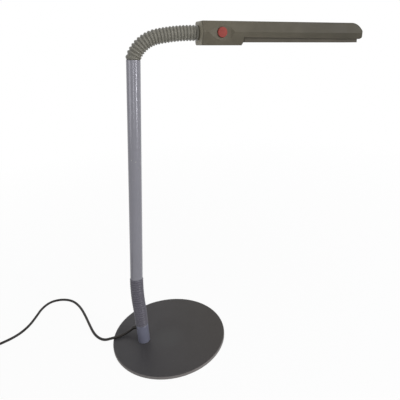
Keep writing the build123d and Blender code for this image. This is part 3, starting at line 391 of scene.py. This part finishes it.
class Neck:
    """A path in the lamp's plane, in millimetres: a start, then pieces of a length and a turn."""

    def __init__(self, x, z, heading, pieces):
        self.start = (x, z, heading)
        self.pieces = pieces

    def place(self, distance):
        x, z, heading = self.start
        for length, turn in self.pieces:
            share = min(distance, length) / length
            run, bend = length * share, turn * share
            if bend:
                radius = run / bend
                x += radius * (math.cos(heading) - math.cos(heading + bend))
                z += radius * (math.sin(heading + bend) - math.sin(heading))
            else:
                x += run * math.sin(heading)
                z += run * math.cos(heading)
            heading += bend
            distance -= length
            if distance <= 0:
                break
        return x, z, heading

    def ring(self, distance, radius):
        x, z, heading = self.place(distance)
        direction = Vector((math.sin(heading), 0, math.cos(heading)))
        return (Vector((x, 0, z)) * MM, direction, Vector((0, 1, 0)), radius * MM)


# Radii in millimetres of the ribbed sleeves, of the core in them and of the cable in the core
CREST, VALLEY, NECK = 12.45, 10.3, 10.2
CORE_RADIUS, CORE_BORE_RADIUS, CABLE_RADIUS = 6.0, 4.0, 2.6
SLEEVE_SEGMENTS = 56
CORE_SEGMENTS = 32
CABLE_SEGMENTS = 20
RIB_SAMPLES = 12
RIB_FULLNESS = 0.6


def ribs(start, end, count):
    """Distances and radii of rounded ribs with narrow grooves between them."""
    pitch = (end - start) / count
    found = []
    for number in range(count * RIB_SAMPLES + 1):
        share = number / RIB_SAMPLES % 1
        bulge = (0.5 + 0.5 * math.cos(math.pi * (2 * share - 1))) ** RIB_FULLNESS
        found.append((start + number / RIB_SAMPLES * pitch, VALLEY + (CREST - VALLEY) * bulge))
    return found


# The lamp's line from the collar's top: lower neck, pole, then upper neck in three arcs
LEAN = math.radians(6.1)
BACK = math.radians(1.9)
COLLAR_X, COLLAR_TOP, COLLAR_SEAT = -50.3, 43.6, 9.4
LOWER_STRAIGHT, LOWER_BACK, LOWER_FORWARD = 14.0, 30.0, 60.1
POLE_LENGTH, POLE_RADIUS, POLE_BORE_RADIUS = 393.5, 11.5, 10.3
POLE_GRIP = 38.0
LOWER_ARCS = [(LOWER_STRAIGHT, 0.0), (LOWER_BACK, -BACK), (LOWER_FORWARD, LEAN + BACK)]
lower = Neck(COLLAR_X, COLLAR_TOP, 0.0, LOWER_ARCS + [(POLE_GRIP, 0.0)])
lower_ribbed = LOWER_STRAIGHT + LOWER_BACK + LOWER_FORWARD
foot_x, foot_z, _ = lower.place(lower_ribbed)
top_x = foot_x + POLE_LENGTH * math.sin(LEAN)
top_z = foot_z + POLE_LENGTH * math.cos(LEAN)

UPPER_STRAIGHT, UPPER_RUN_OUT, HEAD_GRIP = 0.3, 9.3, 15.8
UPPER_TURN = math.radians(88.0)
TIGHT = math.radians(24.8)
WIDE = math.radians(51.9)
SLACK = UPPER_TURN - TIGHT - WIDE
TIGHT_RADIUS, WIDE_RADIUS, SLACK_RADIUS = 15.0, 54.0, 300.0
UPPER_ARCS = [
    (TIGHT_RADIUS * TIGHT, TIGHT),
    (WIDE_RADIUS * WIDE, WIDE),
    (SLACK_RADIUS * SLACK, SLACK),
]
upper = Neck(
    top_x - POLE_GRIP * math.sin(LEAN),
    top_z - POLE_GRIP * math.cos(LEAN),
    LEAN,
    [(POLE_GRIP + UPPER_STRAIGHT, 0.0), *UPPER_ARCS, (UPPER_RUN_OUT + HEAD_GRIP, 0.0)],
)
arcs_length = sum(length for length, turn in UPPER_ARCS)
upper_ribs_to = POLE_GRIP + UPPER_STRAIGHT + arcs_length + UPPER_RUN_OUT
upper_end = upper_ribs_to + HEAD_GRIP


def hose(name, neck, profile, slot, segments=SLEEVE_SEGMENTS, hollow=False):
    """A piece of hose along a neck, from distances and radii."""
    piece = rings_mesh(name, [neck.ring(*pair) for pair in profile], segments, hollow)
    return dressed(piece, slot)


def tube_profile(start, end, outer, inner, pieces):
    """Distances and radii of a bored tube: out along its outside and back along its bore."""
    steps = [start + (end - start) * number / pieces for number in range(pieces + 1)]
    return [(step, outer) for step in steps] + [(step, inner) for step in reversed(steps)]


def bar_profile(start, end, radius, pieces):
    """Distances and radii of a plain bar."""
    return [(start + (end - start) * number / pieces, radius) for number in range(pieces + 1)]


def bend_lower(low, high, low_nodes):
    """The two halves of a piece of the lower neck, fixed in place, with the CAD nodes they replace
    hidden.
    """
    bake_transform(low)
    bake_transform(high)
    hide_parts(*low_nodes)
    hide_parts(*low_nodes)


# Lower neck: the sleeve, and the core and cable in it, each in two halves; then the pole's skin

LOWER_RIBS, RIBS_BELOW_SPLIT = 21, 11
COLLAR_NECK_LENGTH, POLE_NECK_LENGTH = 4.0, 24.0
lower_profile = ribs(0.0, lower_ribbed, LOWER_RIBS)
split = RIBS_BELOW_SPLIT * RIB_SAMPLES
low_part = [(-COLLAR_NECK_LENGTH, NECK)] + lower_profile[: split + 1]
high_part = lower_profile[split:] + [(lower_ribbed + POLE_NECK_LENGTH, NECK)]
bend_lower(
    hose("lower_sleeve_a", lower, low_part, "sleeve"),
    hose("lower_sleeve_b", lower, high_part, "sleeve"),
    ["lower_sleeve"],
)

CORE_SPLIT = 49.0
LOWER_CORE_STEPS, UPPER_CORE_STEPS = 24, 64
lower_cores = []
for side, ends in enumerate(((-COLLAR_SEAT, CORE_SPLIT), (CORE_SPLIT, lower_ribbed + POLE_GRIP))):
    core_profile = tube_profile(*ends, CORE_RADIUS, CORE_BORE_RADIUS, LOWER_CORE_STEPS)
    cable_profile = bar_profile(*ends, CABLE_RADIUS, LOWER_CORE_STEPS)
    core = hose(f"lower_core_{side}", lower, core_profile, "gooseneck", CORE_SEGMENTS, True)
    cable = hose(f"lower_cable_{side}", lower, cable_profile, "cord_sheath", CABLE_SEGMENTS)
    lower_cores.append((core, cable))
bend_lower(lower_cores[0][0], lower_cores[1][0], ["lower_gooseneck"])
bend_lower(lower_cores[0][1], lower_cores[1][1], ["lower_neck_cable"])

POLE_EDGE, POLE_EDGE_BAND, POLE_SEGMENTS = 0.2, 0.8, 128
pole = Neck(foot_x, foot_z, LEAN, [(POLE_LENGTH, 0.0)])
pole_low = [(0.0, POLE_RADIUS - POLE_EDGE), (POLE_EDGE, POLE_RADIUS), (POLE_EDGE_BAND, POLE_RADIUS)]
pole_high = [(POLE_LENGTH - distance, radius) for distance, radius in reversed(pole_low)]
pole_bore = [(POLE_LENGTH, POLE_BORE_RADIUS), (0.0, POLE_BORE_RADIUS)]
pole_profile = pole_low + pole_high + pole_bore
pole_skin = hose("pole_skin", pole, pole_profile, "pole_paint", POLE_SEGMENTS, True)
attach(pole_skin, "column")
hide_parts("pole_tube")


# Upper neck: its sleeve, core and cable


def bend_upper(piece, *replaced):
    """A piece of the upper neck between the pole's top and the head, fixed in place, with the CAD
    nodes it replaces hidden.
    """
    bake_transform(piece)
    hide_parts(*replaced)


UPPER_RIBS = 23
UPPER_NECK_START, CAP_NECK_LENGTH = 14.4, 10.8
upper_profile = [
    (UPPER_NECK_START, NECK),
    *ribs(POLE_GRIP, upper_ribs_to, UPPER_RIBS),
    (upper_ribs_to + CAP_NECK_LENGTH, NECK),
]
core_profile = tube_profile(0.0, upper_end, CORE_RADIUS, CORE_BORE_RADIUS, UPPER_CORE_STEPS)
cable_profile = bar_profile(0.0, upper_end, CABLE_RADIUS, UPPER_CORE_STEPS)
upper_skin = hose("upper_sleeve_skin", upper, upper_profile, "sleeve")
bend_upper(upper_skin, "upper_sleeve")
upper_core = hose("upper_core", upper, core_profile, "gooseneck", CORE_SEGMENTS, True)
bend_upper(upper_core, "upper_gooseneck")
upper_cable = hose("upper_cable", upper, cable_profile, "cord_sheath", CABLE_SEGMENTS)
bend_upper(upper_cable, "upper_neck_cable")


# Cord: the route's points in millimetres, the coil's turns by a loop, then the tail

CORD_DIAMETER = 5.2
ROUTE = [
    (-67.63, 22.62, 20.92),
    (-73.6, 25.0, 15.0),
    (-86.5, 24.6, 10.0),
    (-98.5, 22.6, 9.3),
    (-112.5, 22.6, 9.1),
    (-125.5, 27.6, 4.9),
    (-136.5, 39.5, 2.9),
    (-146.0, 57.0, 2.9),
    (-154.0, 88.0, 2.9),
    (-163.0, 127.0, 2.9),
    (-174.0, 163.0, 2.9),
    (-190.0, 191.0, 2.9),
    (-214.0, 206.0, 2.9),
    (-240.0, 206.0, 2.9),
    (-258.0, 187.0, 2.9),
    (-268.0, 160.0, 2.9),
    (-281.0, 131.0, 2.9),
    (-303.0, 108.0, 2.9),
    (-341.0, 93.6, 2.9),
    (-362.0, 93.6, 2.9),
]
TAIL = [
    (-394.0, 93.98, 8.7),
    (-415.0, 91.5, 5.5),
    (-434.0, 81.0, 3.2),
    (-447.0, 64.5, 3.4),
    (-450.0, 48.0, 7.0),
    (-450.0, 36.0, 7.0),
]
COIL_X, COIL_Y, COIL_HEIGHT = -378.0, 93.6, 2.9
COIL_RADIUS, COIL_STEP = 39.6, 2.9
HALF_TURNS = 6
POINTS_A_HALF = 8


def coil_points():
    """The coil's half turns: in on the table, up at the inside, and out again on top."""
    radii = [COIL_RADIUS - COIL_STEP * number for number in range(HALF_TURNS)]
    climb = radii[-1] - COIL_STEP
    climb_width = math.sqrt(climb**2 - COIL_STEP**2)
    steps = [(radius, radius, 0) for radius in radii]
    steps += [(climb, climb_width, 2 * COIL_STEP)]
    steps += [(radius, radius, 0) for radius in radii[:0:-1]]
    outside = 1 / math.cos(math.pi / POINTS_A_HALF / 2)
    points = []
    y, z, way = COIL_Y, COIL_HEIGHT, -1
    for bulge, half_width, rise in steps:
        middle_y = y + half_width * way
        for number in range(POINTS_A_HALF):
            share = (number + 0.5) / POINTS_A_HALF
            angle = math.pi * share
            points.append(
                (
                    COIL_X + way * bulge * outside * math.sin(angle),
                    middle_y - way * half_width * outside * math.cos(angle),
                    z + rise * share,
                )
            )
        y += 2 * half_width * way
        z += rise
        way = -way
    return points


def cord_curve(name, points, diameter):
    """A smooth free cord: one open NURBS spline with a round bevel."""
    curve = bpy.data.curves.new(name, "CURVE")
    curve.dimensions = "3D"
    curve.bevel_depth = diameter / 2 * MM
    curve.bevel_resolution = 5
    curve.resolution_u = 8
    curve.use_fill_caps = True
    spline = curve.splines.new("NURBS")
    spline.points.add(len(points) - 1)
    for spot, point in zip(spline.points, points):
        spot.co = (*(Vector(point) * MM), 1)
    spline.order_u = 3
    spline.use_endpoint_u = True
    spline.use_smooth = True
    piece = bpy.data.objects.new(name, curve)
    bpy.context.scene.collection.objects.link(piece)
    return piece


cord = cord_curve("mains_flex", ROUTE + coil_points() + TAIL, CORD_DIAMETER)
dressed(cord, "cord_sheath", "base", "mains_cord", "cord_coil", "cord_tail")


# Strain reliefs: grooved tapers from the collar and from the plug

BAND_SAMPLES = 10
GROOVE_WIDTH = 0.13


def relief_rings(line, root, tip, bands, groove):
    """Rings of a grooved taper; line gives a point and a direction for a share of its length."""
    rings = []
    for number in range(bands * BAND_SAMPLES + 1):
        share = number / (bands * BAND_SAMPLES)
        within = share * bands % 1
        radius = root + (tip - root) * share
        if 0 < share < 1:
            radius -= groove * math.exp(-((((within + 0.5) % 1 - 0.5) / GROOVE_WIDTH) ** 2))
        point, direction = line(share)
        sideways = direction.cross(Vector((0, 0, 1))).normalized()
        rings.append((point * MM, direction, sideways, radius * MM))
    return rings


RELIEF_ENTRY = Vector((-53.55, 5.63, 26.5))
RELIEF_BEND = Vector((-62.3, 20.5, 26.2))
RELIEF_END = Vector(ROUTE[0])
PLUG_X, PLUG_CORD_HEIGHT = -450.0, 7.0
PLUG_RELIEF_FROM, PLUG_RELIEF_LENGTH = 12.0, 24.0
RELIEF_SEGMENTS = 32


def collar_relief_line(share):
    """A quadratic curve from the collar's bore, over the bend, to the cord."""
    a, b, c = RELIEF_ENTRY, RELIEF_BEND, RELIEF_END
    rest = 1 - share
    point = rest * rest * a + 2 * rest * share * b + share * share * c
    direction = (2 * rest * (b - a) + 2 * share * (c - b)).normalized()
    return point, direction


def plug_relief_line(share):
    """A straight line from the plug's case to the cord."""
    y = PLUG_RELIEF_FROM + PLUG_RELIEF_LENGTH * share
    return Vector((PLUG_X, y, PLUG_CORD_HEIGHT)), Vector((0, 1, 0))


collar_rings = relief_rings(collar_relief_line, root=4.0, tip=3.5, bands=8, groove=0.5)
relief = rings_mesh("collar_relief", collar_rings, RELIEF_SEGMENTS)
dressed(relief, "cord_sheath", "base", "cord_relief")
plug_rings = relief_rings(plug_relief_line, root=4.5, tip=3.5, bands=7, groove=0.55)
plug_boot = rings_mesh("plug_boot", plug_rings, RELIEF_SEGMENTS)
dressed(plug_boot, "cord_sheath", "base", "plug_relief")


# Floor, backdrop, light and camera


def white_share(tree):
    """1 for the camera's rays and for reflected and transmitted ones, and 0 for all others."""
    path = tree.nodes.new("ShaderNodeLightPath")
    total = path.outputs["Is Camera Ray"]
    for other in ("Is Glossy Ray", "Is Transmission Ray"):
        joined = tree.nodes.new("ShaderNodeMath")
        joined.operation = "MAXIMUM"
        tree.links.new(total, joined.inputs[0])
        tree.links.new(path.outputs[other], joined.inputs[1])
        total = joined.outputs[0]
    return total


FLOOR_REACH = 12.0


def make_floor():
    """A pale floor, which the camera sees almost white near the lamp and plain white far off."""
    reach = FLOOR_REACH
    mesh = bpy.data.meshes.new("floor")
    corners = [(-reach, -reach, 0), (reach, -reach, 0), (reach, reach, 0), (-reach, reach, 0)]
    mesh.from_pydata(corners, [], [(0, 1, 2, 3)])
    piece = bpy.data.objects.new("floor", mesh)
    bpy.context.scene.collection.objects.link(piece)
    made, tree, shader = new_material("floor", (0.86, 0.86, 0.86), 0.9)
    white = tree.nodes.new("ShaderNodeEmission")
    white.inputs["Strength"].default_value = 1.0
    mix = tree.nodes.new("ShaderNodeMixShader")
    share = tree.nodes.new("ShaderNodeMath")
    share.operation = "MULTIPLY"
    tree.links.new(white_share(tree), share.inputs[0])
    farther = ranged(tree, distance_from(tree, (0, 0, 0)), 0.35, 1.6, 0.95, 1)
    tree.links.new(farther, share.inputs[1])
    tree.links.new(share.outputs[0], mix.inputs[0])
    tree.links.new(shader.outputs[0], mix.inputs[1])
    tree.links.new(white.outputs[0], mix.inputs[2])
    tree.links.new(mix.outputs[0], tree.nodes["Material Output"].inputs["Surface"])
    mesh.materials.append(made)


def make_world():
    """A dim sky that lights the lamp; the camera sees plain white in its place."""
    world = bpy.data.worlds.new("studio")
    world.use_nodes = True
    tree = world.node_tree
    sky = tree.nodes["Background"]
    sky.inputs["Color"].default_value = (0.94, 0.96, 1.0, 1)
    sky.inputs["Strength"].default_value = 0.27
    white = tree.nodes.new("ShaderNodeBackground")
    white.inputs["Color"].default_value = (1, 1, 1, 1)
    white.inputs["Strength"].default_value = 1.0
    mix = tree.nodes.new("ShaderNodeMixShader")
    tree.links.new(white_share(tree), mix.inputs[0])
    tree.links.new(sky.outputs[0], mix.inputs[1])
    tree.links.new(white.outputs[0], mix.inputs[2])
    tree.links.new(mix.outputs[0], tree.nodes["World Output"].inputs["Surface"])
    bpy.context.scene.world = world


def add_light(name, place, target, size, power):
    """A rectangular lamp that faces its target."""
    data = bpy.data.lights.new(name, "AREA")
    data.shape = "RECTANGLE"
    data.size, data.size_y = size
    data.energy = power
    lamp = bpy.data.objects.new(name, data)
    lamp.location = place
    lamp.rotation_mode = "QUATERNION"
    lamp.rotation_quaternion = (Vector(target) - Vector(place)).to_track_quat("-Z", "Y")
    bpy.context.scene.collection.objects.link(lamp)


# In metres, then the heading, the tilt down and the roll in degrees
CAMERA_PLACE = (-0.08796, -0.66173, 0.56717)
CAMERA_ANGLES = (15.0, 18.463, -4.205)


def make_camera():
    """The photograph's camera, whose picture lies a little below the lens's axis."""
    heading, tilt, roll = (math.radians(angle) for angle in CAMERA_ANGLES)
    forward = Vector(
        (math.cos(tilt) * math.sin(heading), math.cos(tilt) * math.cos(heading), -math.sin(tilt))
    )
    level = Vector((math.cos(heading), -math.sin(heading), 0))
    upright = level.cross(forward)
    right = math.cos(roll) * level + math.sin(roll) * upright
    up = math.cos(roll) * upright - math.sin(roll) * level
    data = bpy.data.cameras.new("camera")
    data.lens = 36.0
    data.sensor_width = 36.0
    data.shift_y = -0.075
    data.clip_start = 0.02
    camera = bpy.data.objects.new("camera", data)
    turned = Matrix((right, up, -forward)).transposed().to_4x4()
    camera.matrix_world = Matrix.Translation(CAMERA_PLACE) @ turned
    bpy.context.scene.collection.objects.link(camera)
    bpy.context.scene.camera = camera


bpy.context.scene.view_settings.view_transform = "Standard"
make_floor()
make_world()
add_light("key", (1.2, -1.1, 1.2), target=(0, 0, 0.3), size=(0.55, 0.55), power=8.5)
add_light("strip", (0.86, -1.15, 0.62), target=(0, 0, 0.4), size=(0.08, 1.2), power=5)
add_light("band", (-0.3, -1.6, 0.75), target=(0, 0, 0.4), size=(0.12, 1.2), power=2)
add_light("fill", (-1.6, -0.5, 0.7), target=(0.1, 0, 0.4), size=(0.9, 0.9), power=3)
add_light("top", (0.3, -0.2, 2.3), target=(0, 0, 0.3), size=(1.2, 1.2), power=6)
make_camera()
